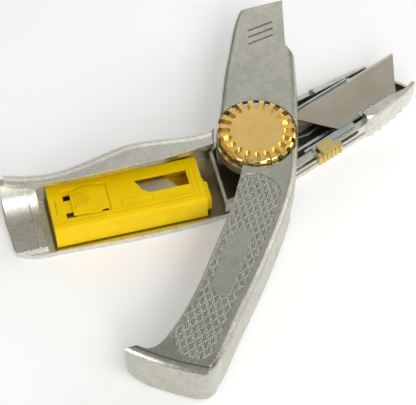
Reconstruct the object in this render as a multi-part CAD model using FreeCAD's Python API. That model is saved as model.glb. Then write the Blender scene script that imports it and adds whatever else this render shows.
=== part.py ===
"""Retractable utility knife with two die-cast halves that swing apart about a knurled knob.

Frame, in millimetres: the origin is on the swing axis, on the flat outer face of the lower half.
+X runs along the blade towards the nose, +Y towards the cutting edge, +Z up towards the knob.
The model is stored opened, with the upper half swung away from the lower one.
"""
import FreeCAD, Part
import math
import os
from FreeCAD import Vector

# ---------------------------------------------------------------- driving dimensions
OPENING = 54.8            # degrees the upper half is swung open, against the closed knife

FLOOR = 3.0               # floor of the lower half
FACE_TOP = 24.0           # outer face of the upper half
FACE = 2.2                # its thickness
BAND_TOP = 23.4           # roof band of the lower half, beside the upper face
WALL = 2.6                # belly wall of the lower half
LOW_WALL = 8.0            # height of the low belly wall from the swing axis to the nose
SEAM_GAP = 0.4            # gap between the two halves along the face

END_RADIUS = 112.6        # pommel end of the lower floor, an arc about the swing axis
BAND_END_RADIUS = 110.0   # pommel end of the belly wall
HOOK_INNER = 113.4        # end wall of the upper half, which passes outside that arc
HOOK_OUTER = 118.2

DRUM_RADIUS = 17.4        # round drum of the upper half below the knob
DRUM_BOTTOM = 15.3
RECESS_RADIUS = 17.9      # sunk seat of the knob
RECESS_FLOOR = 20.0
BAND_START_RADIUS = 19.2  # the belly wall of the lower half stops short of the drum

POST_RADIUS = 4.2         # threaded post that the upper half turns on
POST_TOP = 16.0
SCREW_RADIUS = 2.5
RUNNING = 0.06            # radial running clearance on the post and the screw

KNOB_RADIUS = 17.0
KNOB_FLAT_RADIUS = 11.3   # plain middle of its face, inside the notches
KNOB_BOTTOM = 20.9
KNOB_TOP = 26.0
KNOB_SHOULDER = 1.6       # rounding of its outer edge
KNOB_NOTCHES = 20
KNOB_NOTCH_WIDTH = 2.5
KNOB_NOTCH_DEPTH = 1.6

BLADE_LENGTH = 61.5       # standard trapezoid blade
BLADE_WIDTH = 18.75
BLADE_THICK = 0.6
BLADE_BACK = 33.2
BLADE_BOTTOM = 11.7
BLADE_TIP = (83.0, 5.8)
NOTCH_SPACING = 6.2
NOTCH_RADIUS = 1.8

RAIL_OUT = -17.2          # rail that the slider button runs along
RAIL_IN = -14.1
RAIL_TOP = 10.3
STEP_X = 40.5             # where the low belly wall steps up beside the blade
RAIL_END = 49.0
BUTTON_LOW = 6.8          # underside of the slider button's grip
SLOT = (2.0, 44.6, 6.0, 9.0)   # first x, last x, low z, high z of the button's slot

POMMEL_ROUND = 6.0        # rounding of the end wall of the upper half
FIELD_DEPTH = 0.35        # sunk grip field on the face of the upper half

RIVET = (13.0, 7.0, 0.9)  # place and radius of the rivet that holds the detent spring

HANDLE_DROOP = -22.3      # degrees from +X to the axis of the handle bay
CASE = (-93.2, -27.4, -22.9, 0.3, 3.2, 15.5)  # blade dispenser: along, across and up, in handle axes
CASE_WALL = 1.2


# ---------------------------------------------------------------- drawing helpers
def point(x, y, z=0.0):
    return Vector(x, y, z)


def polar(radius, degrees):
    """A plan point at a radius and an angle about the swing axis."""
    angle = math.radians(degrees)
    return (radius * math.cos(angle), radius * math.sin(angle))


def on_handle(along, across):
    """Knife coordinates of a point given along and across the drooping handle."""
    angle = math.radians(HANDLE_DROOP)
    return (along * math.cos(angle) - across * math.sin(angle),
            along * math.sin(angle) + across * math.cos(angle))


def moved_across(points, step):
    """The same points moved across the handle, towards the belly when step is positive."""
    dx, dy = on_handle(0, step)
    return [(x + dx, y + dy) for x, y in points]


def curve(points):
    """One smooth curve through the points."""
    spline = Part.BSplineCurve()
    spline.interpolate([point(x, y) for x, y in points])
    return spline.toShape()


def lines(points):
    return [Part.makeLine(point(*a), point(*b)) for a, b in zip(points, points[1:])]


def arc(radius, first, last):
    """Arc about the swing axis, between two angles in degrees."""
    middle = (first + last) / 2
    ends = [point(*polar(radius, a)) for a in (first, middle, last)]
    return Part.Arc(*ends).toShape()


def slab(edges, low, high):
    """Solid between two heights over a closed outline of edges."""
    outline = Part.Face(Part.Wire(Part.__sortEdges__(edges)))
    outline.translate(point(0, 0, low))
    return outline.extrude(point(0, 0, high - low))


def plate(points, low, high):
    """Solid between two heights over a polygon."""
    return slab(lines(list(points) + [points[0]]), low, high)


def block(x, y, z):
    """Box between pairs of x, y and z."""
    return Part.makeBox(x[1] - x[0], y[1] - y[0], z[1] - z[0], point(x[0], y[0], z[0]))


def disc(radius, low, high, at=(0, 0)):
    return Part.makeCylinder(radius, high - low, point(at[0], at[1], low))


def tube(outer, inner, low, high, at=(0, 0)):
    return disc(outer, low, high, at).cut(disc(inner, low - 1, high + 1, at))


def revolved(profile):
    """Solid turned about the swing axis from (radius, height) points."""
    corners = [point(r, 0, z) for r, z in profile + [profile[0]]]
    edges = [Part.makeLine(a, b) for a, b in zip(corners, corners[1:])]
    return Part.Face(Part.Wire(edges)).revolve(point(0, 0), point(0, 0, 1), 360)


def along_handle(shape):
    """Turn a shape drawn in handle axes onto the handle."""
    shape.rotate(point(0, 0), point(0, 0, 1), HANDLE_DROOP)
    return shape


def union(shapes):
    first, *rest = shapes
    return first.fuse(rest).removeSplitter()


def edges_near(solid, line, height):
    """Edges of a solid at one height that lie on a plan curve."""
    raised = line.copy()
    raised.translate(point(0, 0, height))
    found = []
    for edge in solid.Edges:
        middle = edge.valueAt((edge.FirstParameter + edge.LastParameter) / 2)
        on_level = abs(edge.BoundBox.ZMin - height) < 0.01 and abs(edge.BoundBox.ZMax - height) < 0.01
        if on_level and raised.distToShape(Part.Vertex(middle))[0] < 0.02:
            found.append(edge)
    return found


def swung_open(shape):
    """Turn a piece of the upper half from the closed knife to the stored pose."""
    shape.rotate(point(0, 0), point(0, 0, 1), OPENING)
    return shape


# ---------------------------------------------------------------- outlines seen from above
BELLY = [(-11.0, 16.0), (-22.1, 18.9), (-29.7, 22.9), (-37.3, 27.0), (-45.4, 30.8), (-54.6, 32.9),
         (-64.1, 34.3), (-73.0, 35.9), (-83.4, 39.2), (-92.1, 44.7), polar(END_RADIUS, 153)]
SPINE = [(-104.0, 16.6), (-94.5, 12.0), (-79.0, 4.9), (-63.4, -1.9), (-50.4, -7.1), (-34.4, -12.7),
         (-24.0, -15.4), (-12.0, -17.0), (0.0, RAIL_OUT)]
SEAM = [(-16.6, 6.6), (-22.4, 8.0), (-30.0, 10.0), (-37.5, 12.2), (-54.0, 18.5), (-70.2, 24.7),
        (-82.0, 29.9), (-89.7, 34.0), (-99.4, 40.4)]
NOSE_BELLY = [(69.5, 9.3), (55.0, 11.6), (40.0, 13.5), (20.0, 15.8), (4.0, 17.2), (-11.0, 16.0)]
NOSE_FRONT = [(80.8, -12.8), (79.7, -8.0), (76.9, -2.3), (73.6, 3.5), (69.5, 9.3)]
FLOOR_OUTER = [polar(END_RADIUS, a) for a in (153, 157, 161, 165)] + [(-110.2, 22.6), (-107.6, 19.0)]
FLOOR_OUTER += SPINE[1:] + [(16.0, RAIL_OUT), (32.0, RAIL_OUT), (RAIL_END, RAIL_OUT)]
UPPER_OUTER = [polar(HOOK_OUTER, a) for a in (150.6, 154, 158, 162, 165.4)] + [(-114.6, 23.6), (-110.4, 19.4)]
UPPER_OUTER += SPINE[1:-1] + [(0.0, -18.0)]
UPPER_TIP = (-101.3, 53.4)
UPPER_NOSE = [UPPER_OUTER[-1], (20.0, -18.8), (43.0, -18.8)]
UPPER_BELLY = [(69.4, 5.0), (64.0, 7.0), (50.6, 9.8), (32.4, 13.1), (13.2, 15.5), polar(DRUM_RADIUS, 78)]

GRIP_FIELD = [(-25.0, 8.3), (-21.9, 6.0), (-21.0, 1.6), (-22.4, -3.2), (-26.4, -7.6), (-33.1, -8.9),
              (-48.9, -3.4), (-61.8, 1.8), (-77.4, 8.6), (-92.8, 15.6), (-102.2, 19.8), (-107.4, 22.6),
              (-109.0, 26.4), (-107.8, 31.2), (-105.4, 35.2), (-101.6, 37.4), (-96.4, 36.6), (-88.9, 32.5),
              (-81.3, 28.4), (-69.6, 23.2), (-53.5, 17.0), (-37.0, 10.6)]
PLAQUE = [(-48.2, -10.4), (-48.6, -16.4), (-79.4, -17.4), (-81.2, -12.6), (-78.4, -8.6), (-54.6, -7.4)]


# ---------------------------------------------------------------- lower half
def lower_floor():
    """Flat floor under both the nose and the handle."""
    edges = [curve(NOSE_BELLY), curve(BELLY)]
    edges += [curve(FLOOR_OUTER), curve(THUMB_REST_OUTLINE), curve(NOSE_FRONT)]
    return slab(edges, 0, FLOOR)


THUMB_REST_OUTLINE = [(RAIL_END, RAIL_OUT), (51.5, -18.4), (57.0, -18.2), (64.0, -17.4), (71.0, -16.2),
                      (76.5, -14.7), (80.8, -12.8)]
THUMB_TROUGHS = [(54.6, -18.9), (59.4, -18.6), (64.2, -18.0), (69.0, -17.2), (73.8, -16.1)]


def belly_wall():
    """Tall handle wall that curls over into a roof band, rounded along its outer edge."""
    outer = curve(BELLY)
    seam = moved_across(SEAM, SEAM_GAP / 2)
    edges = [outer, curve(seam)]
    edges += lines([BELLY[0], seam[0]]) + lines([BELLY[-1], polar(END_RADIUS, 156.0), seam[-1]])
    wall = slab(edges, 0, BAND_TOP)
    wall = wall.makeFillet(6.0, edges_near(wall, outer, BAND_TOP))
    inner = moved_across(BELLY, -WALL)
    bay = [curve(inner)] + lines([inner[0], on_handle(-8, -30), on_handle(-135, -30), inner[-1]])
    wall = wall.cut(slab(bay, FLOOR - 1, BAND_TOP - 3.0))
    wall = wall.cut(disc(BAND_START_RADIUS, LOW_WALL, FACE_TOP + 1))
    return wall.cut(tube(130, BAND_END_RADIUS, FLOOR - 1, FACE_TOP + 1))


def nose_belly_wall():
    """Low wall beside the blade, with a higher stretch at the front."""
    outer = curve(NOSE_BELLY)
    low = [(x, y - 2.2) for x, y in NOSE_BELLY]
    ends = lines([NOSE_BELLY[0], low[0]]) + lines([NOSE_BELLY[-1], (-15.5, 12.4), low[-1]])
    wall = slab([outer, curve(low)] + ends, 0, LOW_WALL)
    front = slab([outer] + lines([NOSE_BELLY[0], (68.4, 6.9), (30.0, 9.7), NOSE_BELLY[-1]]), 0, 11.5)
    front = front.makeChamfer(2.0, edges_near(front, outer, 11.5))
    front = front.common(block((STEP_X, 90), (0, 30), (0, 20)))
    return union([wall, front])


def thumb_rest():
    """Tall ridged rest on the spine, just behind the nose."""
    edges = [curve(THUMB_REST_OUTLINE)]
    edges += lines([THUMB_REST_OUTLINE[-1], (79.6, -11.6), (74.0, -13.4), (RAIL_END, -13.4),
                    (RAIL_END, RAIL_OUT)])
    rest = slab(edges, 0, 14.6)
    slope = Part.Face(Part.makePolygon([point(62, 0, 15), point(62, 0, 14.6), point(85, 0, 10.6),
                                        point(85, 0, 15), point(62, 0, 15)])).extrude(point(0, -30, 0))
    rest = rest.cut(slope)
    return rest.makeChamfer(1.0, edges_near(rest, curve(THUMB_REST_OUTLINE), 14.6))


def thumb_troughs():
    """Hollows between the ridges of the rest, leaning so that they fade out towards its top."""
    troughs = []
    for x, y in THUMB_TROUGHS:
        trough = Part.makeCylinder(2.4, 14.0, point(x, y - 1.15, -0.5), point(0.0, -0.09, 1.0))
        troughs.append(trough)
    return troughs


def rail():
    """Spine wall of the nose with the long slot and outer grooves that guide the slider button."""
    wall = block((-1.5, RAIL_END + 1), (RAIL_OUT + 0.2, RAIL_IN), (0, RAIL_TOP))
    first, last, low, high = SLOT
    wall = wall.cut(block((first, last - 1.5), (RAIL_OUT - 1, RAIL_IN + 1), (low, high)))
    end = Part.makeCylinder(1.5, 5, point(last - 1.5, RAIL_OUT - 1, (low + high) / 2), point(0, 1, 0))
    wall = wall.cut(end)
    for height in (3.8, 9.7):
        wall = wall.cut(block((-2, RAIL_END - 1), (RAIL_OUT - 1, RAIL_OUT + 0.55), (height, height + 0.5)))
    return wall


def handle_ribs():
    """Cross rib near the pivot, low spine wall beside it, and the raised pommel seat."""
    rib = along_handle(block((-19.6, -18.2), (-22.4, 6.0), (0, 9.0)))
    spine_wall = plate([(-27.0, -14.1), (-12.0, -16.6), (0.0, -16.9), (0.0, -14.6), (-12.0, -14.3),
                        (-26.0, -12.0)], 0, 9.0)
    seat = along_handle(block((-118, -97.2), (-22.6, 3.0), (FLOOR, 5.0)))
    scoop = block((-118, -97.2), (-9.0, 8.0), (FLOOR, 18.0))
    scoop = along_handle(scoop.cut(Part.makeCylinder(13.05, 40, point(-130, -9.0, 18.0), point(1, 0, 0))))
    sill = block((-101.0, -99.6), (-22.6, 8.0), (FLOOR, 18.0))
    sill = sill.cut(block((-102, -99), (-23, -9.0), (6.2, 19)))
    sill = along_handle(sill.cut(Part.makeCylinder(11.85, 40, point(-130, -9.0, 18.0), point(1, 0, 0))))
    ends = disc(END_RADIUS - 0.5, -1, 30)
    inner = moved_across(BELLY, -WALL / 2)
    keep = slab([curve(inner)] + lines([inner[0], (0, -40), (-140, -40), (-140, 60), inner[-1]]), 0, 20.5)
    return [rib, spine_wall] + [s.common(ends).common(keep) for s in (seat, sill, scoop)]


def nose_ribs():
    """Two low ribs along the nose, under the carrier."""
    return [block((12.0, 40.0), (-9.8, -8.6), (0, 8.0)), block((20.5, 44.0), (-1.4, -0.2), (0, 7.0))]


def front_lip():
    """Small raised lip along the slanted front of the nose."""
    back = [(x - 1.2, y - 0.4) for x, y in NOSE_FRONT]
    edges = [curve(NOSE_FRONT), curve(back)]
    edges += lines([NOSE_FRONT[0], back[0]]) + lines([NOSE_FRONT[-1], back[-1]])
    return slab(edges, 0, 5.2)


def lower_shell():
    shell = union([lower_floor(), belly_wall(), nose_belly_wall(), thumb_rest(), rail(), front_lip()]
                  + handle_ribs() + nose_ribs())
    boss = disc(8.0, FLOOR - 1, 5.0)
    shell = shell.fuse(boss).removeSplitter()
    for trough in thumb_troughs():
        shell = shell.cut(trough)
    shell = shell.cut(disc(POST_RADIUS, -1, 6))
    shell = shell.cut(disc(RIVET[2], FLOOR - 1.5, FLOOR + 1, RIVET[:2]))
    return shell.cut(disc(6.6, -1, 1.6))


def pivot_post():
    """Threaded steel post pressed up through the lower floor; its flange sits in a counterbore."""
    profile = [(0, 0), (6.6, 0), (6.6, 1.6), (POST_RADIUS, 1.6), (POST_RADIUS, POST_TOP - 0.4),
               (POST_RADIUS - 0.4, POST_TOP), (SCREW_RADIUS + RUNNING, POST_TOP),
               (SCREW_RADIUS + RUNNING, 4.0), (0, 4.0)]
    return revolved(profile)


def detent_spring():
    """Bent leaf in the nose, under the carrier, that holds the slider in its positions."""
    route = [(9.0, 4.4), (12.5, 2.2), (16.0, -1.8), (20.0, -5.0), (25.0, -6.2), (30.0, -5.4), (34.0, -4.2),
             (37.5, -4.8), (41.0, -4.2), (46.0, -3.6)]
    leaf = plate(route + [(x + 0.15, y + 0.5) for x, y in reversed(route)], FLOOR + 0.2, 9.4)
    tail = block((9.0, 17.0), (4.2, 9.0), (FLOOR, FLOOR + 0.5))
    return union([leaf, tail]).cut(disc(RIVET[2], 0, 9, RIVET[:2]))


def detent_rivet():
    x, y, radius = RIVET
    return union([disc(radius, FLOOR - 1.5, FLOOR + 1, (x, y)), disc(1.4, FLOOR + 0.5, FLOOR + 1.1, (x, y))])


# ---------------------------------------------------------------- upper half, drawn closed
def upper_outline():
    seam = moved_across(SEAM, -SEAM_GAP / 2)
    edges = [curve(UPPER_BELLY), arc(DRUM_RADIUS, 78, 158.6)]
    edges += lines([polar(DRUM_RADIUS, 158.6), seam[1]])
    edges += [curve(seam[1:]), curve([seam[-1], (-102.6, 43.6), (-103.6, 46.6), (-102.6, 50.0), UPPER_TIP])]
    edges += lines([UPPER_TIP, UPPER_OUTER[0]]) + [curve(UPPER_OUTER), curve(UPPER_NOSE)]
    edges += lines([UPPER_NOSE[-1], (48.5, -15.0), (51.0, -14.8), (75.0, -14.8), UPPER_BELLY[0]])
    return edges


def upper_block():
    """Outer form of the upper half, its face edges rounded, trimmed to its stepped lower rim."""
    form = slab(upper_outline(), 1.0, FACE_TOP)
    rounded = edges_near(form, curve(UPPER_OUTER), FACE_TOP) + edges_near(form, curve(UPPER_NOSE), FACE_TOP)
    rounded += edges_near(form, lines([UPPER_TIP, UPPER_OUTER[0]])[0], FACE_TOP)
    form = form.makeFillet(3.0, rounded)
    form = form.makeFillet(2.4, edges_near(form, curve(UPPER_BELLY), FACE_TOP))
    over_floor = disc(HOOK_INNER, 0, FLOOR + 0.3)
    over_box = block((-32.0, 90), (-40, 40), (0, 9.4))
    over_rail = block((-19.0, 90), (-40, -8.0), (0, DRUM_BOTTOM))
    over_nose = block((38.2, 90), (-40, 40), (0, 12.4))
    over_drum = disc(DRUM_RADIUS + 0.1, 0, DRUM_BOTTOM).cut(block((-6, 30), (9, 30), (0, 30)))
    lip_room = block((50.0, 62.5), (0, 6.95), (0, 13.3))
    spaces = [over_floor, over_box, over_rail, over_nose, over_drum, lip_room]
    for space in spaces + pommel_rounding():
        form = form.cut(space)
    return form


def pommel_rounding():
    """What is cut away to round the end wall: its long edge, and its tip above, below and in plan."""
    reach = HOOK_OUTER - POMMEL_ROUND
    high = FACE_TOP - POMMEL_ROUND
    corners = [point(reach + r, 0, high + z) for r, z in ((0, 0), (9, 0), (9, 9), (0, 9), (0, 0))]
    ring = Part.Face(Part.makePolygon(corners)).revolve(point(0, 0), point(0, 0, 1), 30)
    round_edge = Part.makeTorus(reach, POMMEL_ROUND + 0.15, point(0, 0, high))
    ring.rotate(point(0, 0), point(0, 0, 1), 145)
    cuts = [ring.cut(round_edge)]
    top = block((100, 125), (-3, 5.4), (18.8, 30))
    top = top.cut(Part.makeCylinder(5.25, 30, point(98, 5.4, 18.8), point(1, 0, 0)))
    low = block((100, 125), (-3, 13.0), (-1, 14.0))
    low = low.cut(Part.makeCylinder(13.05, 30, point(98, 13.0, 14.0), point(1, 0, 0)))
    plan = block((114.3, 125), (-3, 3.9), (-1, 30)).cut(disc(3.95, -2, 31, (114.3, 3.9)))
    for cut in (top, low, plan):
        cut.rotate(point(0, 0), point(0, 0, 1), 150.6)
        cuts.append(cut)
    return cuts


def upper_hollow():
    """Space inside the upper half, below its face."""
    top = FACE_TOP - FACE
    belly = [(x, y - 2.0) for x, y in UPPER_BELLY[:-1]]
    nose = [curve(belly)] + lines([belly[-1], (13.2, -16.6), (43.0, -16.6), (46.5, -12.9), (90, -12.9),
                                   (90, 5.0), belly[0]])
    bay = plate([on_handle(-135, -23.3), on_handle(-24.0, -23.3), (-24.0, -13.6), (-12.0, -15.0),
                 (0.0, -15.6), (0.0, 60.0), on_handle(-135, 60)], 0, top)
    bay = bay.common(disc(HOOK_INNER, 0, top)).cut(disc(DRUM_RADIUS, 0, top))
    drum = disc(DRUM_RADIUS - 2.0, 0, RECESS_FLOOR - 2.4)
    return [slab(nose, 0, top).cut(disc(DRUM_RADIUS, 0, top)), bay, drum]


def grip_field():
    """Sunk field for the knurling, round a plain plaque that stays level with the face."""
    rim = Part.BSplineCurve()
    rim.interpolate([point(x, y) for x, y in GRIP_FIELD], PeriodicFlag=True)
    field = slab([rim.toShape()], FACE_TOP - FIELD_DEPTH, FACE_TOP + 1)
    return field.cut(plate([on_handle(*corner) for corner in PLAQUE], 0, FACE_TOP + 2))


def face_grooves():
    """Three slanted grip grooves on the nose and three finger scallops on the spine."""
    cuts = []
    for start in (49.6, 53.4, 57.2):
        groove = block((0, 12.2), (-0.6, 0.6), (FACE_TOP - 0.5, FACE_TOP + 1))
        groove.rotate(point(0, 0), point(0, 0, 1), -65.5)
        groove.translate(point(start, 1.6))
        cuts.append(groove)
    for middle in ((-51.2, -6.9), (-72.4, 1.2), (-88.4, 8.8)):
        scallop = Part.makeSphere(7.0, point(middle[0] - 2.3, middle[1] - 5.6, 9.0))
        cuts.append(scallop)
    return cuts


def upper_shell():
    shell = upper_block()
    for space in upper_hollow():
        shell = shell.cut(space)
    hub = disc(7.8, 13.2, RECESS_FLOOR - 1.0)
    shell = shell.fuse(hub).removeSplitter()
    bore = disc(5.6, 13.0, POST_TOP + 0.4)
    seat = disc(RECESS_RADIUS, RECESS_FLOOR, FACE_TOP + 1)
    clear = disc(SCREW_RADIUS + 0.5, 10, FACE_TOP)
    for space in [bore, seat, clear, grip_field()] + face_grooves():
        shell = shell.cut(space)
    return swung_open(shell)


def pivot_bush():
    """Bronze bush in the hub of the upper half, running on the post."""
    return tube(5.6, POST_RADIUS + RUNNING, 13.2, POST_TOP + 0.4)


# ---------------------------------------------------------------- knob
def knob():
    """Thumb knob: flat face, rounded shoulder, and notches that run over it and down its side."""
    profile = [(SCREW_RADIUS, KNOB_BOTTOM), (KNOB_RADIUS - 1.0, KNOB_BOTTOM),
               (KNOB_RADIUS, KNOB_BOTTOM + 1.0), (KNOB_RADIUS, KNOB_TOP), (0, KNOB_TOP),
               (0, KNOB_TOP - 2.0), (SCREW_RADIUS, KNOB_TOP - 2.0)]
    body = revolved(profile)
    shoulder = [edge for edge in body.Edges
                if edge.BoundBox.ZMin > KNOB_TOP - 0.01 and edge.BoundBox.XMax > KNOB_RADIUS - 0.1]
    body = body.makeFillet(KNOB_SHOULDER, shoulder)
    half = KNOB_NOTCH_WIDTH / 2
    floor = KNOB_TOP - KNOB_NOTCH_DEPTH
    start = KNOB_FLAT_RADIUS + half
    flute = KNOB_RADIUS - 1.5
    side = [(start, floor), (flute - 1.1, floor), (flute - 0.3, floor - 0.4), (flute, floor - 1.2),
            (flute, KNOB_BOTTOM - 1), (KNOB_RADIUS + 1, KNOB_BOTTOM - 1), (KNOB_RADIUS + 1, KNOB_TOP + 1),
            (start, KNOB_TOP + 1)]
    corners = [point(r, -half, z) for r, z in side + side[:1]]
    notch = Part.Face(Part.makePolygon(corners)).extrude(point(0, KNOB_NOTCH_WIDTH, 0))
    notch = notch.fuse(disc(half, floor, KNOB_TOP + 1, (start, 0)))
    for i in range(KNOB_NOTCHES):
        turned = notch.copy()
        turned.rotate(point(0, 0), point(0, 0, 1), 360 / KNOB_NOTCHES * i - 36.6)
        body = body.cut(turned)
    return body


def knob_screw():
    """Steel screw fixed in the knob and threaded into the post."""
    profile = [(0, 5.0), (SCREW_RADIUS - 0.5, 5.0), (SCREW_RADIUS, 5.6), (SCREW_RADIUS, KNOB_TOP - 2.0),
               (0, KNOB_TOP - 2.0)]
    return revolved(profile)


def thrust_washer():
    return tube(8.0, SCREW_RADIUS + 0.1, RECESS_FLOOR + 0.05, RECESS_FLOOR + 0.45)


def wave_washer():
    """Thin cone washer that keeps the knob from working loose."""
    profile = [(SCREW_RADIUS + 0.1, RECESS_FLOOR + 0.47), (6.4, RECESS_FLOOR + 0.47),
               (6.4, RECESS_FLOOR + 0.62), (SCREW_RADIUS + 0.1, KNOB_BOTTOM - 0.02)]
    return revolved(profile)


# ---------------------------------------------------------------- blade, carrier and slider
def blade_outline():
    """Trapezoid blade with its long cutting edge along +Y."""
    x, y = BLADE_TIP
    inset = (BLADE_LENGTH - BLADE_BACK) / 2
    back = y - BLADE_WIDTH
    return [(x, y), (x - BLADE_LENGTH, y), (x - BLADE_LENGTH + inset, back), (x - inset, back)]


def blade():
    body = plate(blade_outline(), BLADE_BOTTOM, BLADE_BOTTOM + BLADE_THICK)
    x, y = BLADE_TIP
    middle = x - BLADE_LENGTH / 2
    for side in (-0.5, 0.5):
        centre = (middle + side * NOTCH_SPACING, y - BLADE_WIDTH + 0.4)
        body = body.cut(disc(NOTCH_RADIUS, BLADE_BOTTOM - 1, BLADE_BOTTOM + 2, centre))
    ground = 1.3
    for level, turn in ((BLADE_BOTTOM, 1), (BLADE_BOTTOM + BLADE_THICK, -1)):
        corners = [point(0, y - ground, level), point(0, y + 0.1, level),
                   point(0, y + 0.1, level + turn * 0.29)]
        wedge = Part.Face(Part.makePolygon(corners + corners[:1])).extrude(point(200, 0, 0))
        body = body.cut(wedge)
    return body


def blade_carrier():
    """Folded steel carrier: bed under the blade, edge lip, rail strip and a guide flange."""
    bed_low = BLADE_BOTTOM - 1.0
    bed = plate([(26.0, 6.7), (58.0, 6.7), (60.0, -13.0), (38.5, -13.0)], bed_low, BLADE_BOTTOM)
    lip = block((28.0, 56.0), (5.95, 6.7), (bed_low, BLADE_BOTTOM + 1.3))
    strip = block((20.0, 43.5), (-15.4, -12.9), (bed_low, BLADE_BOTTOM))
    nose_strip = block((38.5, 60.0), (-13.1, -12.0), (bed_low, BLADE_BOTTOM))
    flange = block((19.0, 36.0), (-13.8, -12.9), (5.0, BLADE_BOTTOM))
    tail = block((16.5, 20.0), (-13.8, -12.9), (8.4, BLADE_BOTTOM))
    body = union([bed, lip, strip, nose_strip, flange, tail])
    return body.cut(block((23.0, 29.0), (-20, -10), (6.4, 8.8)))


def blade_studs():
    """Two locating studs riveted to the carrier, standing in the blade's notches."""
    x, y = BLADE_TIP
    middle = x - BLADE_LENGTH / 2
    studs = []
    for side in (-0.5, 0.5):
        centre = (middle + side * NOTCH_SPACING, y - BLADE_WIDTH + 0.85)
        studs.append(disc(1.1, BLADE_BOTTOM, BLADE_BOTTOM + BLADE_THICK + 0.1, centre))
    return Part.makeCompound(studs)


def slider_button():
    """Brass button: pad over the rail, toothed outer grip and a stem through the slot."""
    pad = block((21.8, 29.2), (-20.2, -14.6), (BLADE_BOTTOM + 0.1, BLADE_BOTTOM + 1.5))
    grip = block((19.4, 32.2), (-20.2, -18.3), (BUTTON_LOW, BLADE_BOTTOM + 0.6))
    teeth = [disc(0.9, BUTTON_LOW, BLADE_BOTTOM + 0.6, (20.3 + 2.2 * i, -20.2)) for i in range(6)]
    stem = block((23.4, 28.6), (-18.4, -11.6), (7.0, 8.4))
    return union([pad, grip, stem] + teeth)


def button_spring():
    """Leaf on the carrier that pushes the button back out."""
    leaf = block((20.4, 31.6), (-10.5, -10.1), (5.8, 8.8))
    arms = [block(x, (-12.9, -10.1), (5.8, 8.8)) for x in ((20.4, 20.8), (31.2, 31.6))]
    return union([leaf] + arms)


# ---------------------------------------------------------------- spare blade dispenser
def case_box(inset, low, high):
    a0, a1, c0, c1 = CASE[:4]
    return block((a0 + inset, a1 - inset), (c0 + inset, c1 - inset), (low, high))


def dispenser_body():
    """Moulded tray and cover in one, open inside, with window, finger slots and end slit."""
    low, high = CASE[4:]
    body = case_box(0, low, high)
    near_top = [edge for edge in body.Edges
                if abs(edge.BoundBox.YMax - CASE[2]) < 0.01 and abs(edge.BoundBox.ZMin - high) < 0.01]
    body = body.makeFillet(2.6, near_top)
    body = body.cut(case_box(CASE_WALL, low + 1.6, high - CASE_WALL))
    window = [(-55.9, -5.0), (-33.0, -5.0), (-33.0, -12.8), (-50.6, -12.8), (-53.2, -11.0)]
    body = body.cut(plate(window, high - 3, high + 1))
    sunk = block((-87.4, -67.8), (-17.8, -2.8), (high - 0.6, high + 1))
    slots = [block((-87.0, -69.0), y, (high - 3, high + 1)) for y in ((-8.2, -5.4), (-17.0, -14.4))]
    slit = block((-91.0, -90.5), (-14.2, -6.8), (high - 0.5, high + 1))
    for space in [sunk, slit] + slots:
        body = body.cut(space)
    return along_handle(body)


def dispenser_pusher():
    """Sliding plate with a raised finger pad and two legs that push the top spare blade out."""
    high = CASE[5]
    base = block((-84.0, -68.4), (-17.4, -3.2), (high - 0.55, high + 0.1))
    pad = block((-82.3, -76.0), (-14.2, -5.8), (high, high + 0.7))
    legs = [block((-83.0, -78.0), y, (high - 2.2, high - 0.4)) for y in ((-7.9, -5.7), (-16.7, -14.7))]
    return along_handle(union([base, pad] + legs))


def dispenser_latch():
    """End tab that clips the dispenser into the handle."""
    inner_end = CASE[1]
    tab = block((inner_end, inner_end + 2.2), (-20.8, -11.4), (5.0, 12.6))
    hook = block((inner_end, inner_end + 1.2), (-11.4, -8.8), (5.0, 11.4))
    return along_handle(union([tab, hook]))


def spare_blades():
    """Stack of spare blades inside the dispenser."""
    inset = (BLADE_LENGTH - BLADE_BACK) / 2
    stack = []
    for i in range(5):
        tip, edge = -30.2 - 0.1 * i, -20.2
        back = edge + BLADE_WIDTH
        outline = [(tip, edge), (tip - inset, back), (tip - BLADE_LENGTH + inset, back),
                   (tip - BLADE_LENGTH, edge)]
        level = 9.6 + 0.65 * i
        stack.append(along_handle(plate(outline, level, level + BLADE_THICK)))
    return Part.makeCompound(stack)


def dispenser_spring():
    """Bowed leaf that lifts the spare blades against the cover."""
    span = [(-86.0, 5.0), (-73.0, 8.2), (-60.0, 9.4), (-47.0, 8.2), (-34.0, 5.0)]
    upper = [point(u, 0, z) for u, z in span]
    lower = [point(u, 0, z - 0.2) for u, z in span]
    top, under = Part.BSplineCurve(), Part.BSplineCurve()
    top.interpolate(upper)
    under.interpolate(lower)
    ends = [Part.makeLine(upper[0], lower[0]), Part.makeLine(upper[-1], lower[-1])]
    strip = Part.Face(Part.Wire(Part.__sortEdges__([top.toShape(), under.toShape()] + ends)))
    strip.translate(point(0, -16.0))
    return along_handle(strip.extrude(point(0, 8.0, 0)))


PARTS = {
    "lower_shell": lower_shell,
    "pivot_post": pivot_post,
    "detent_spring": detent_spring,
    "detent_rivet": detent_rivet,
    "upper_shell": upper_shell,
    "pivot_bush": pivot_bush,
    "knob": knob,
    "knob_screw": knob_screw,
    "thrust_washer": thrust_washer,
    "wave_washer": wave_washer,
    "blade": blade,
    "blade_carrier": blade_carrier,
    "blade_studs": blade_studs,
    "button_spring": button_spring,
    "slider_button": slider_button,
    "dispenser_body": dispenser_body,
    "dispenser_latch": dispenser_latch,
    "dispenser_spring": dispenser_spring,
    "spare_blades": spare_blades,
    "dispenser_pusher": dispenser_pusher,
}


def main():
    os.makedirs("parts", exist_ok=True)
    for name, make in PARTS.items():
        make().exportStep(f"parts/{name}.step")


if __name__ == "__main__":
    main()
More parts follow.
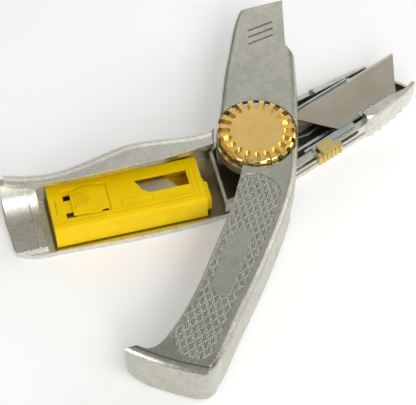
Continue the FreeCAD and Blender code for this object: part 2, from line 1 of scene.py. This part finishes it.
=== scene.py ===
# %% [markdown]
# # A retractable utility knife, swung open
# A die-cast knife in two halves that turn about one thumb knob. The shapes come from the design model,
# which is loaded first and never altered. This lesson gives every piece its finish, and models the small
# surface detail that a design model leaves out: the cast knurling, the sliding latch with its chevrons,
# and the raised lines of the dispenser's cover.

# %% Load the design model
import math
import bmesh
import bpy
from mathutils import Matrix, Vector


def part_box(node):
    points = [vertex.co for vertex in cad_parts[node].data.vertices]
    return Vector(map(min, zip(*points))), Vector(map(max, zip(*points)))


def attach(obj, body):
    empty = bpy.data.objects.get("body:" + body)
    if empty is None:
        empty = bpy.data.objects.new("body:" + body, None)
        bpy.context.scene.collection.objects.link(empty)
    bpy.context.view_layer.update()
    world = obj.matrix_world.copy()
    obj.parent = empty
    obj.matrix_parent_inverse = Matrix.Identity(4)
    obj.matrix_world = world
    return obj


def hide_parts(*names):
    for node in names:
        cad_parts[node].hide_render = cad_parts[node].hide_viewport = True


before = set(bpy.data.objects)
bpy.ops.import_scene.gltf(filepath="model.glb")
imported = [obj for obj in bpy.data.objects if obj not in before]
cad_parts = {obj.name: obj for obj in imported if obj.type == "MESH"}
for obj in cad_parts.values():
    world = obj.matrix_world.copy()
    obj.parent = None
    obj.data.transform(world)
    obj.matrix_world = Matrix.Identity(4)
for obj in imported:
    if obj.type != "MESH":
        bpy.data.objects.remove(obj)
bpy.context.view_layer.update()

# %% [markdown]
# ## Working in millimetres
# The model is in metres, but a knife is drawn in millimetres. Two directions matter: the blade lies
# along X, and the handle droops from it. The upper half is drawn closed and then swung open, so its
# details are easier to place in the closed knife and turn with it. The tops of three pieces are measured
# once, because the finishes and the new pieces are placed by them.

# %% Millimetres, the droop of the handle and the swing
MM = 0.001
DROOP = Matrix.Rotation(math.radians(-22.3), 4, "Z")
SWING = Matrix.Rotation(math.radians(54.8), 4, "Z")
FACE_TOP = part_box("upper_shell")[1].z / MM
KNOB_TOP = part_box("knob")[1].z / MM
CASE_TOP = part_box("dispenser_body")[1].z / MM
print("face of the upper half at", round(FACE_TOP, 2), "mm")
print("knob at", round(KNOB_TOP, 2), "mm and dispenser at", round(CASE_TOP, 2), "mm")

# %% [markdown]
# ## Shader sums
# A shader is a drawing made of numbers. Wrapping a socket in a small class lets a pattern be written as
# a sum instead of a row of linked boxes. Everything else is made by one method of the finish.

# %% A signal and a finish
class Signal:
    """A socket of a shader, on which sums can be written."""

    def __init__(self, finish, socket):
        self.finish = finish
        self.socket = socket

    def sum(self, operation, first, second):
        return self.finish.node("Math", {"operation": operation}, {0: first, 1: second})

    def __add__(self, other):
        return self.sum("ADD", self, other)

    def __sub__(self, other):
        return self.sum("SUBTRACT", self, other)

    def __rsub__(self, other):
        return self.sum("SUBTRACT", other, self)

    def __mul__(self, other):
        return self.sum("MULTIPLY", self, other)

    __radd__ = __add__
    __rmul__ = __mul__


class Finish:
    """A surface finish made of nodes, in millimetres on the knife."""

    def __init__(self, name, **constants):
        self.material = bpy.data.materials.new(name)
        self.material.use_nodes = True
        self.tree = self.material.node_tree
        self.shader = self.tree.nodes["Principled BSDF"]
        for socket, value in constants.items():
            self.shader.inputs[socket.replace("_", " ")].default_value = value
        place = self.node("TexCoord", output="Object")
        self.place = self.node("VectorMath", {"operation": "SCALE"}, {0: place, "Scale": 1 / MM})

    def node(self, kind, settings=None, sockets=None, output=0):
        """One node of the shader, with its settings made and its sockets linked or filled in."""
        made = self.tree.nodes.new("ShaderNode" + kind)
        for setting, value in (settings or {}).items():
            setattr(made, setting, value)
        for socket, value in (sockets or {}).items():
            if isinstance(value, Signal):
                self.tree.links.new(value.socket, made.inputs[socket])
            else:
                made.inputs[socket].default_value = value
        return Signal(self, made.outputs[output])

    def noise(self, per_mm, detail=3.0, roughness=0.55, place=None):
        """Cloudy value from 0 to 1, with so many blotches to the millimetre."""
        sockets = {"Vector": place or self.place, "Scale": per_mm, "Detail": detail, "Roughness": roughness}
        return self.node("TexNoise", None, sockets)

    def upright(self, vector):
        """The upward part of a place or of a direction."""
        return self.node("SeparateXYZ", None, {0: vector}, output="Z")

    def along(self, first, second):
        """How far one vector reaches along another."""
        return self.node("VectorMath", {"operation": "DOT_PRODUCT"}, {0: first, 1: second}, output="Value")

    def ramp(self, value, low, high, at_low=0.0, at_high=1.0):
        """A value eased from one number to another between two limits."""
        sockets = {"Value": value, "From Min": low, "From Max": high, "To Min": at_low, "To Max": at_high}
        return self.node("MapRange", {"interpolation_type": "SMOOTHSTEP"}, sockets)

    def mix(self, mask, first, second):
        """Colour that goes from the first to the second as the mask goes from 0 to 1."""
        sockets = {0: mask, 6: first, 7: second}
        return self.node("Mix", {"data_type": "RGBA"}, sockets, output=2)

    def paint(self, socket, value):
        """Leads a value into a socket of the surface itself."""
        self.tree.links.new(value.socket, self.shader.inputs[socket])

    def relief(self, height, distance, strength=1.0, rounding=None):
        """Bump of a height, in millimetres, over edges that are rounded a little."""
        sockets = {"Height": height, "Distance": distance * MM, "Strength": strength}
        if rounding:
            sockets["Normal"] = self.node("Bevel", {"samples": 4}, {"Radius": rounding * MM})
        self.paint("Normal", self.node("Bump", None, sockets))


print("finish methods:", ", ".join(name for name in vars(Finish) if not name.startswith("__")))

# %% [markdown]
# ## Cast zinc
# Both halves are zinc die castings, tumbled and left bare: a satin grey with a fine sand grain, faint
# cloudy stains, and edges that handling has polished. A mask for the edges comes from comparing the true
# normal with one rounded over the edge. The floor inside the lower half, the grooves of the nose and the
# pits of the knurling get painted shade, a darker colour where less light reaches into them. The floor
# also gets a painted amber reflection of the yellow case. Each is a surface that faces up at a known
# height above the table. Palms have polished the pommel of the upper half.

# %% Cast zinc
EDGE = 0.5                          # how far from an edge its wear reaches
RUBBED = (0.80, 0.78, 0.70, 1)
# how strongly the painted shade darkens the floors, grooves and pits
PAINTED_SHADE_COVER = 0.9
FADE_BELOW, FADE_ABOVE = 0.06, 0.12


def shaded(colour, times):
    """A colour with its brightness multiplied."""
    return [channel * times for channel in colour[:3]] + [1]


def painted_recess_shade(zinc, normal, heights, limits):
    """Mask of painted shade: the surfaces that face up between two heights, inside limits along given
    directions.
    """
    low, high = heights
    height = zinc.upright(zinc.place)
    upward = zinc.upright(normal)
    level = zinc.ramp(height, low - FADE_BELOW, low) * zinc.ramp(height, high + FADE_ABOVE, high)
    painted_shade = level * zinc.ramp(upward, 0.3, 0.7) * PAINTED_SHADE_COVER
    for direction, start, full in limits:
        painted_shade = painted_shade * zinc.ramp(zinc.along(zinc.place, direction), start, full)
    return painted_shade


def cast_zinc(name, tint, painted_shade_between, painted_shade_colour, painted_shade_limits=(), polished=None):
    """Tumbled zinc with worn edges, painted shade on its floors, and a polished part if one is given."""
    zinc = Finish(name, Metallic=1.0)
    grain = zinc.noise(1.5, detail=5.0, roughness=0.75)
    cloud = zinc.noise(0.11, detail=3.0)
    sand = zinc.noise(0.9, detail=2.0)
    rounded = zinc.node("Bevel", {"samples": 6}, {"Radius": EDGE * MM})
    true = zinc.node("NewGeometry", output="True Normal")
    worn = zinc.ramp(zinc.along(rounded, true), 0.98, 0.80)
    blotch = zinc.noise(0.34, detail=4.0, roughness=0.65)
    stain = zinc.ramp(cloud * 0.5 + blotch * 0.5, 0.38, 0.62)
    stained = zinc.mix(stain, shaded(tint, 0.84), shaded(tint, 1.10))
    speckled = zinc.mix(zinc.ramp(grain, 0.42, 0.58) * 0.7, stained, shaded(tint, 1.30))
    rubbed = zinc.mix(worn * 0.6, speckled, RUBBED)
    # painted shade: the floors at the given heights are darkened in the base colour
    painted_shade = painted_recess_shade(zinc, true, painted_shade_between, painted_shade_limits)
    zinc.paint("Base Color", zinc.mix(painted_shade, rubbed, painted_shade_colour))
    rough = zinc.ramp(sand, 0.3, 0.7, 0.30, 0.42) - worn * 0.12
    if polished:
        direction, start, full = polished
        rough = rough - zinc.ramp(zinc.along(zinc.place, direction), start, full) * 0.16
    zinc.paint("Roughness", rough)
    zinc.relief(grain * 0.6 + sand * 0.4, 0.09, 0.9, rounding=0.25)
    print(name, len(zinc.tree.nodes), "nodes")
    return zinc


ALONG_HANDLE = (0.925, -0.380, 0.0)
ACROSS_HANDLE = (0.380, 0.925, 0.0)
TO_POMMEL = (-0.843, -0.537, 0.0)
BAY_LIMITS = [(ALONG_HANDLE, -95.0, -94.2), (ACROSS_HANDLE, -24.6, -23.6)]
# heights of the floors, grooves and pits that get painted shade
BAY_FLOOR = (2.96, 4.4)
NOSE_GROOVES = (23.4, 23.56)
KNURL_PITS = (23.0, 23.70)

# the amber colour is painted shade on the floor inside the lower half, tinted with a painted reflection of
# the yellow case
lower_zinc = cast_zinc("cast_zinc_lower", (0.66, 0.65, 0.585, 1), BAY_FLOOR, (0.17, 0.13, 0.055, 1),
                       painted_shade_limits=BAY_LIMITS)
# the dark grey colour is painted shade in the grooves of the nose
upper_zinc = cast_zinc("cast_zinc_upper", (0.50, 0.495, 0.43, 1), NOSE_GROOVES, (0.20, 0.20, 0.17, 1),
                       polished=(TO_POMMEL, 104.0, 110.0))
# the dark grey colour is painted shade in the pits of the knurling
knurl_zinc = cast_zinc("cast_zinc_knurled", (0.56, 0.565, 0.50, 1), KNURL_PITS, (0.30, 0.305, 0.27, 1))

# %% [markdown]
# ## Brass
# The knob is turned brass, lacquered: its flat top is satin, and its notches and rim, which lie lower, are
# bright. The height tells the two apart. The slider button is a plainer brass, all satin.

# %% Brass of the knob and of the slider button
LACQUERED = (0.95, 0.69, 0.24, 1)


def brass(name, dark, light, satin_above=None):
    """Satin brass, which is bright and lacquered below a height if one is given."""
    metal = Finish(name, Metallic=1.0)
    grain = metal.noise(3.2, detail=3.0)
    cloud = metal.noise(0.16)
    base = metal.mix(metal.ramp(cloud, 0.3, 0.7), dark, light)
    rough = metal.ramp(grain, 0.3, 0.7, 0.34, 0.44)
    if satin_above:
        bright = metal.ramp(metal.upright(metal.place), satin_above, satin_above - 0.15)
        base = metal.mix(bright, base, LACQUERED)
        rough = rough - bright * 0.20
    metal.paint("Base Color", base)
    metal.paint("Roughness", rough)
    metal.relief(grain, 0.02, 0.7, rounding=0.22)
    print(name, len(metal.tree.nodes), "nodes")
    return metal


knob_brass = brass("knob_brass", (0.93, 0.635, 0.215, 1), (1.0, 0.70, 0.25, 1), KNOB_TOP - 0.02)
button_brass = brass("button_brass", (0.70, 0.56, 0.22, 1), (0.82, 0.66, 0.27, 1))

# %% [markdown]
# ## Sheet and spring steel
# The blade is ground steel under a film of oil, so it looks warm and flat. The carrier is pressed from
# bright zinc plate, slightly blue. Screws, springs and the post are plain steel, and the bush is bronze.
# Rolled metal has fine lines along its length: noise stretched along X gives them.

# %% Sheet metals
STRETCH = (0.06, 2.4, 2.4)          # lines to the millimetre along X, Y and Z


def sheet_metal(name, dark, light, rough, lines=0.5):
    """Rolled metal, with a share of its shade from lines and the rest from clouds."""
    metal = Finish(name, Metallic=1.0)
    drawn = metal.node("VectorMath", {"operation": "MULTIPLY"}, {0: metal.place, 1: STRETCH})
    line = metal.noise(1.0, detail=4.0, place=drawn)
    cloud = metal.noise(0.09, detail=2.0)
    shade = metal.ramp(cloud * (1 - lines) + line * lines, 0.32, 0.68)
    metal.paint("Base Color", metal.mix(shade, dark, light))
    metal.paint("Roughness", metal.ramp(line, 0.3, 0.7, rough, rough + 0.1))
    metal.relief(line, 0.01, 0.6, rounding=0.12)
    print(name, len(metal.tree.nodes), "nodes")
    return metal


blade_steel = sheet_metal("blade_steel", (0.47, 0.43, 0.35, 1), (0.55, 0.505, 0.42, 1), 0.34, lines=0.35)
plate = sheet_metal("zinc_plate", (0.46, 0.54, 0.56, 1), (0.60, 0.69, 0.72, 1), 0.24)
steel = sheet_metal("bright_steel", (0.50, 0.50, 0.49, 1), (0.62, 0.62, 0.61, 1), 0.30)
spring_steel = sheet_metal("spring_steel", (0.30, 0.31, 0.32, 1), (0.42, 0.43, 0.44, 1), 0.28)
bronze = sheet_metal("bush_bronze", (0.42, 0.25, 0.12, 1), (0.52, 0.32, 0.16, 1), 0.34)

# %% [markdown]
# ## Yellow plastic
# The dispenser is moulded in glossy yellow polypropylene. A little light gets under its surface, and the
# mould has left it very slightly uneven.

# %% Yellow plastic
def yellow_plastic(name, deep, bright):
    plastic = Finish(name, Subsurface_Weight=0.05, Subsurface_Scale=0.002, Specular_IOR_Level=0.12)
    cloud = plastic.noise(0.07, detail=2.0)
    fine = plastic.noise(1.4, detail=3.0)
    plastic.paint("Base Color", plastic.mix(plastic.ramp(cloud, 0.3, 0.7), deep, bright))
    plastic.paint("Roughness", plastic.ramp(fine, 0.3, 0.7, 0.30, 0.40))
    plastic.relief(fine, 0.02, 0.5, rounding=0.35)
    print(name, len(plastic.tree.nodes), "nodes")
    return plastic


case_yellow = yellow_plastic("case_yellow", (0.98, 0.64, 0.001, 1), (1.0, 0.70, 0.001, 1))
latch_yellow = yellow_plastic("latch_yellow", (0.97, 0.64, 0.001, 1), (1.0, 0.70, 0.002, 1))

# %% [markdown]
# ## Handing out the finishes
# A design piece keeps its mesh and only changes what is in its material slots.

# %% Give each design piece its finish
FINISH_OF = {
    "lower_shell": lower_zinc,
    "upper_shell": upper_zinc,
    "knob": knob_brass,
    "slider_button": button_brass,
    "blade": blade_steel,
    "spare_blades": blade_steel,
    "blade_carrier": plate,
    "blade_studs": plate,
    "knob_screw": steel,
    "pivot_post": steel,
    "thrust_washer": steel,
    "detent_rivet": steel,
    "detent_spring": spring_steel,
    "button_spring": spring_steel,
    "wave_washer": spring_steel,
    "dispenser_spring": spring_steel,
    "pivot_bush": bronze,
    "dispenser_body": case_yellow,
    "dispenser_latch": case_yellow,
    "dispenser_pusher": latch_yellow,
}
for name, finish in FINISH_OF.items():
    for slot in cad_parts[name].material_slots:
        slot.material = finish.material
print("finished", len(FINISH_OF), "design pieces")

# %% [markdown]
# ## A helper for new pieces
# A new piece is shaped in a bmesh, in millimetres, and is then turned onto the knife and written to an
# object that stays at the origin. It rides on one body of the design.

# %% Turn a bmesh into a piece of the knife
def placed(name, data):
    """A new object in the scene, at the origin, around a mesh, a light or a camera."""
    made = bpy.data.objects.new(name, data)
    bpy.context.scene.collection.objects.link(made)
    return made


def written(name, mesh, finish):
    """The bmesh written out as an object with one finish."""
    data = bpy.data.meshes.new(name)
    mesh.to_mesh(data)
    mesh.free()
    data.materials.append(finish.material)
    return placed(name, data)


def piece(name, mesh, body, finish, turn):
    """A new piece that rides on a body, from a bmesh in millimetres and the turn that places it."""
    mesh.transform(Matrix.Scale(MM, 4) @ turn)
    made = written(name, mesh, finish)
    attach(made, body)
    print(name, len(made.data.polygons), "faces")
    return made


# %% [markdown]
# ## The knurled grip
# The grip is a sunk field of diamond cells. Each cell has a sunk floor with a small stud in the middle,
# and thin ridges are left between the cells. A grid of squares turned by 45 degrees and squeezed gives
# the diamonds, and insetting every face a few times makes its ridge, its floor and its stud, so one
# operator does the work for over a hundred cells. The cells at the border run a little way under the face.

# %% The outline of the field and of its blank plaque
FIELD = [(-25.0, 8.3), (-21.9, 6.0), (-21.0, 1.6), (-22.4, -3.2), (-26.4, -7.6), (-33.1, -8.9),
         (-48.9, -3.4), (-61.8, 1.8), (-77.4, 8.6), (-92.8, 15.6), (-102.2, 19.8), (-108.4, 23.0),
         (-111.0, 27.0), (-110.6, 31.6), (-107.6, 36.0), (-102.4, 38.2), (-96.4, 36.8), (-88.9, 32.5),
         (-81.3, 28.4), (-69.6, 23.2), (-53.5, 17.0), (-37.0, 10.6)]
PLAQUE_ALONG_HANDLE = [(-48.2, -10.4), (-48.6, -16.4), (-79.4, -17.4), (-81.2, -12.6), (-78.4, -8.6),
                       (-54.6, -7.4)]
PLAQUE = [(DROOP @ Vector((x, y, 0))).xy for x, y in PLAQUE_ALONG_HANDLE]


def inside(at, outline):
    """True if a plan point lies within an outline."""
    crossings = 0
    for (x0, y0), (x1, y1) in zip(outline, outline[1:] + outline[:1]):
        if (y0 > at.y) != (y1 > at.y) and at.x < x0 + (at.y - y0) * (x1 - x0) / (y1 - y0):
            crossings += 1
    return crossings % 2 == 1


print("the field has", len(FIELD), "corners and the plaque", len(PLAQUE))

# %% The knurling
CELL = (5.24, 3.45)                 # the diagonals of a cell, along and across the handle
FIRST_CELL = Vector((-89.72, -8.69, 0))
CELLS_ACROSS_GRID = 50
CELLS_TO_MIDDLE = 4.5
BELOW_FACE = 0.03
TOWARDS_CENTRE = 0.6                # how far in the corners lie that decide whether a cell is kept
CELL_DEPTH = 0.30
SKIRT_DEPTH = 0.36
INSETS = [(0.28, 0.0), (0.16, -1.0), (0.34, 0.0), (0.14, 0.75), (0.22, 0.2)]   # width, part of the depth


def knurling():
    mesh = bmesh.new()
    bmesh.ops.create_grid(mesh, x_segments=CELLS_ACROSS_GRID, y_segments=CELLS_ACROSS_GRID,
                          size=CELLS_ACROSS_GRID / 2)
    squeeze = Matrix.Diagonal((CELL[0] / math.sqrt(2), CELL[1] / math.sqrt(2), 1, 1))
    middle = Matrix.Translation(FIRST_CELL + Vector((CELL[0] * CELLS_TO_MIDDLE, 0, 0)))
    to_field = Matrix.Translation((0, 0, FACE_TOP - BELOW_FACE)) @ DROOP @ middle
    mesh.transform(to_field @ squeeze @ Matrix.Rotation(math.radians(45), 4, "Z"))
    outside = []
    for cell in mesh.faces:
        corners = [v.co.lerp(cell.calc_center_median(), TOWARDS_CENTRE) for v in cell.verts]
        if all(inside(c, PLAQUE) for c in corners) or not all(inside(c, FIELD) for c in corners):
            outside.append(cell)
    bmesh.ops.delete(mesh, geom=outside, context="FACES")
    cells = list(mesh.faces)
    print("knurl cells", len(cells))
    for thickness, part in INSETS:
        bmesh.ops.inset_individual(mesh, faces=cells, thickness=thickness, depth=CELL_DEPTH * part)
    rim = [edge for edge in mesh.edges if edge.is_boundary]
    skirt = bmesh.ops.extrude_edge_only(mesh, edges=rim)["geom"]
    low = [item for item in skirt if isinstance(item, bmesh.types.BMVert)]
    bmesh.ops.translate(mesh, verts=low, vec=(0, 0, -SKIRT_DEPTH))
    bmesh.ops.recalc_face_normals(mesh, faces=mesh.faces)
    return mesh


piece("knurled_grip", knurling(), "upper_half", knurl_zinc, SWING)

# %% [markdown]
# ## Small moulded shapes
# The dispenser's sliding latch is one thin plate with ears, a finger pad with chevrons, and two legs that
# reach down through the slots. Each part of it is a flat outline pulled up into a prism, with its top edges
# bevelled, and the prisms share one mesh because they are one moulding. The raised lines of the cover are
# prisms too. Outlines are given along and across the drooped handle, and heights from the top of the case.

# %% A bevelled prism
def prism(mesh, outline, low, high, bevel=0.0):
    """Adds a prism over an outline to a mesh, in millimetres, with its top edges bevelled."""
    base = [mesh.verts.new((x, y, low)) for x, y in outline]
    floor = mesh.faces.new(base)
    raised = bmesh.ops.extrude_face_region(mesh, geom=[floor], use_keep_orig=True)["geom"]
    top = [item for item in raised if isinstance(item, bmesh.types.BMVert)]
    bmesh.ops.translate(mesh, verts=top, vec=(0, 0, high - low))
    roof = [item for item in raised if isinstance(item, bmesh.types.BMFace)]
    if bevel:
        rim = list({edge for face in roof for edge in face.edges})
        bmesh.ops.bevel(mesh, geom=rim, offset=bevel, affect="EDGES", segments=2, profile=0.5, material=-1)


def oblong(along, across):
    """Outline of an oblong between two limits each way."""
    return [(along[0], across[0]), (along[1], across[0]), (along[1], across[1]), (along[0], across[1])]


# %% The raised lines of the cover
BEADS = [((-90.4, -30.0), (-20.3, -19.7)), ((-30.0, -29.4), (-20.3, -1.6)),
         ((-66.6, -31.6), (-18.4, -18.0)), ((-32.0, -31.6), (-18.0, -3.6)),
         ((-63.0, -49.0), (-17.5, -17.2)), ((-63.0, -49.0), (-14.7, -14.4)),
         ((-63.0, -62.7), (-17.2, -14.7)), ((-49.3, -49.0), (-17.2, -14.7))]
BEAD_HEIGHTS = (CASE_TOP - 0.3, CASE_TOP + 0.28)


def case_beads():
    """Fine raised lines where the cover of the case ends, and the blank panel beside the latch."""
    mesh = bmesh.new()
    for along, across in BEADS:
        prism(mesh, oblong(along, across), *BEAD_HEIGHTS, bevel=0.1)
    bmesh.ops.recalc_face_normals(mesh, faces=mesh.faces)
    return mesh


piece("case_beads", case_beads(), "dispenser", case_yellow, DROOP)

# %% The sliding latch
PLATE = [(-84.0, -4.3), (-80.6, -4.2), (-79.3, -3.2), (-73.4, -3.2), (-72.0, -4.2), (-68.4, -4.2),
         (-68.6, -16.2), (-71.4, -16.4), (-72.8, -17.4), (-77.4, -17.4), (-78.8, -16.6), (-84.0, -16.6)]
PAD = [(-82.6, -5.9), (-76.0, -5.9), (-76.0, -14.2), (-82.6, -14.2)]
LEG_ALONG = (-83.0, -78.0)
LEGS_ACROSS = [(-7.9, -5.7), (-16.7, -14.7)]

CHEVRONS = 5
FIRST_TIP = -80.9
CHEVRON_STEP = 1.15
TIP_WIDTH = 0.6
ARM_FRONT, ARM_BACK = 1.35, 1.9     # how far behind the tip an arm ends
ARM_REACH = 3.55                    # from the middle line to the end of an arm
LATCH_MIDDLE = -10.05

PLATE_HEIGHTS = (CASE_TOP - 0.5, CASE_TOP + 0.25)
PAD_HEIGHTS = (CASE_TOP + 0.1, CASE_TOP + 0.42)
CHEVRON_HEIGHTS = (CASE_TOP + 0.3, CASE_TOP + 0.68)
LEG_HEIGHTS = (CASE_TOP - 2.2, CASE_TOP - 0.4)


def chevron(tip):
    """Outline of one chevron that points along the handle."""
    upper, lower = LATCH_MIDDLE + ARM_REACH, LATCH_MIDDLE - ARM_REACH
    return [(tip, LATCH_MIDDLE), (tip - ARM_BACK, upper), (tip - ARM_FRONT, upper),
            (tip + TIP_WIDTH, LATCH_MIDDLE), (tip - ARM_FRONT, lower), (tip - ARM_BACK, lower)]


def sliding_latch():
    mesh = bmesh.new()
    prism(mesh, PLATE[::-1], *PLATE_HEIGHTS, bevel=0.2)
    prism(mesh, PAD[::-1], *PAD_HEIGHTS, bevel=0.15)
    for i in range(CHEVRONS):
        prism(mesh, chevron(FIRST_TIP + CHEVRON_STEP * i)[::-1], *CHEVRON_HEIGHTS, bevel=0.12)
    for across in LEGS_ACROSS:
        prism(mesh, oblong(LEG_ALONG, across), *LEG_HEIGHTS)
    bmesh.ops.recalc_face_normals(mesh, faces=mesh.faces)
    return mesh


latch = piece("sliding_latch", sliding_latch(), "pusher", latch_yellow, DROOP)
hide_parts("dispenser_pusher")

# %% [markdown]
# ## The stage
# The knife lies on a plain white table under five soft lights. The one behind stands where the flat faces
# mirror the camera, so that they read as pale satin. The others stand round the front and the sides, for
# the walls, the knob and the bevels, and the dark gaps between them give the round edges their contrast.

# %% Table and light
TABLE_REACH = 2.0                   # metres from the middle to an edge


def table():
    mesh = bmesh.new()
    bmesh.ops.create_grid(mesh, x_segments=1, y_segments=1, size=TABLE_REACH)
    paper = Finish("white_table", Roughness=0.9, Emission_Color=(1, 1, 1, 1), Emission_Strength=0.22)
    tone = paper.ramp(paper.noise(0.002), 0.2, 0.8)
    paper.paint("Base Color", paper.mix(tone, (0.90, 0.90, 0.90, 1), (0.92, 0.92, 0.92, 1)))
    made = written("table", mesh, paper)


def soft_box(name, azimuth, elevation, distance, size, power):
    """Area light aimed at the knife from an azimuth and an elevation in degrees."""
    light = bpy.data.lights.new(name, "AREA")
    light.shape = "DISK"
    light.size = size
    light.energy = power
    made = placed(name, light)
    a, e = math.radians(azimuth), math.radians(elevation)
    away = Vector((math.sin(a) * math.cos(e), -math.cos(a) * math.cos(e), math.sin(e)))
    made.location = away * distance
    made.rotation_euler = away.to_track_quat("Z", "Y").to_euler()


table()
soft_box("key", azimuth=70, elevation=26, distance=1.2, size=0.7, power=3.6)
soft_box("fill", azimuth=-22, elevation=30, distance=1.3, size=0.6, power=4.4)
soft_box("front", azimuth=8, elevation=52, distance=1.3, size=0.7, power=4.1)
soft_box("low_left", azimuth=-76, elevation=14, distance=1.2, size=0.4, power=1.2)
soft_box("behind", azimuth=143, elevation=32, distance=1.5, size=1.0, power=2.4)

world = bpy.data.worlds.new("studio")
world.use_nodes = True
world.node_tree.nodes["Background"].inputs["Color"].default_value = (1.0, 0.985, 0.945, 1)
world.node_tree.nodes["Background"].inputs["Strength"].default_value = 0.36
bpy.context.scene.world = world
bpy.context.scene.view_settings.view_transform = "Standard"
print("lights", len(bpy.data.lights))

# %% [markdown]
# ## The camera
# A long lens from the front left, looking steeply down.

# %% Camera
lens = bpy.data.cameras.new("camera")
lens.lens = 134.07
lens.sensor_width = 36.0
lens.clip_start = 0.01
camera = placed("camera", lens)
camera.location = (-0.25307, -0.30537, 0.56017)
camera.rotation_euler = (math.radians(33.88), 0, math.radians(-36.63))
bpy.context.scene.camera = camera
print("camera", round(camera.location.length, 3), "m from the pivot")

# %% [markdown]
